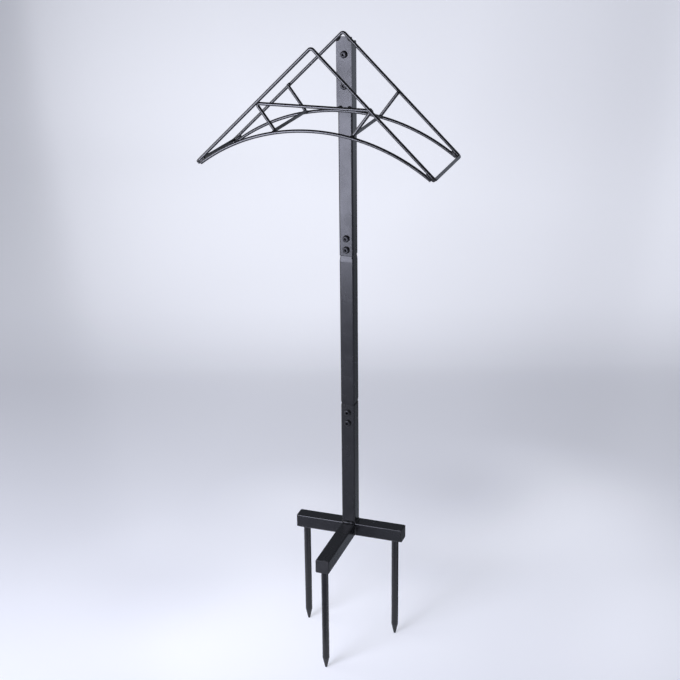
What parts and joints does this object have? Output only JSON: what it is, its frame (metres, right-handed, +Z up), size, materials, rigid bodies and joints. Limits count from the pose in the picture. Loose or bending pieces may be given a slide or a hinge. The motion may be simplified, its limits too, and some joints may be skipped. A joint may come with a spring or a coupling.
{
  "type": "mobile hose stand",
  "caption": "Mobile hose stand: ground spikes under a T-shaped base, a bolted square post and a triangular bent-wire rack that a coiled garden hose hangs over.",
  "frame": {"origin": "under the middle of the whole stand, at the height of the spike tips", "axes": "+Z up along the post, +X to the stand's right seen from the front, -Y to the front, where the front arm and the rack reach out"},
  "size_m": [0.397, 0.1918, 1.1157],
  "materials": {
    "powder_coated_tube": "black semi-gloss powder coat on square steel tube, flat plate and round bar",
    "powder_coated_wire": "black semi-gloss powder coat on round steel wire",
    "black_plastic_cap": "fine matt black moulded end caps",
    "black_plated_fastener": "black plated bolts and nuts"
  },
  "bodies": {
    "root": {"base_cross_bar": "powder_coated_tube", "base_front_arm": "powder_coated_tube", "ground_spike_left": "powder_coated_tube", "ground_spike_right": "powder_coated_tube", "ground_spike_front": "powder_coated_tube", "lower_post_tube": "powder_coated_tube", "middle_post_tube": "powder_coated_tube", "upper_post_tube": "powder_coated_tube", "rack_plate": "powder_coated_tube", "rack_frame_wire": "powder_coated_wire", "front_arch_wire": "powder_coated_wire", "back_arch_wire": "powder_coated_wire", "hose_cradle_wire": "powder_coated_wire", "arm_cap_left": "black_plastic_cap", "arm_cap_right": "black_plastic_cap", "arm_cap_front": "black_plastic_cap", "post_top_cap": "black_plastic_cap", "bolt_lower_joint_near": "black_plated_fastener", "bolt_lower_joint_far": "black_plated_fastener", "bolt_upper_joint_near": "black_plated_fastener", "bolt_upper_joint_far": "black_plated_fastener", "bolt_plate_top": "black_plated_fastener", "bolt_plate_bottom": "black_plated_fastener", "nut_lower_joint_near": "black_plated_fastener", "nut_lower_joint_far": "black_plated_fastener", "nut_upper_joint_near": "black_plated_fastener", "nut_upper_joint_far": "black_plated_fastener", "nut_plate_top": "black_plated_fastener", "nut_plate_bottom": "black_plated_fastener"}
  },
  "joints": []
}
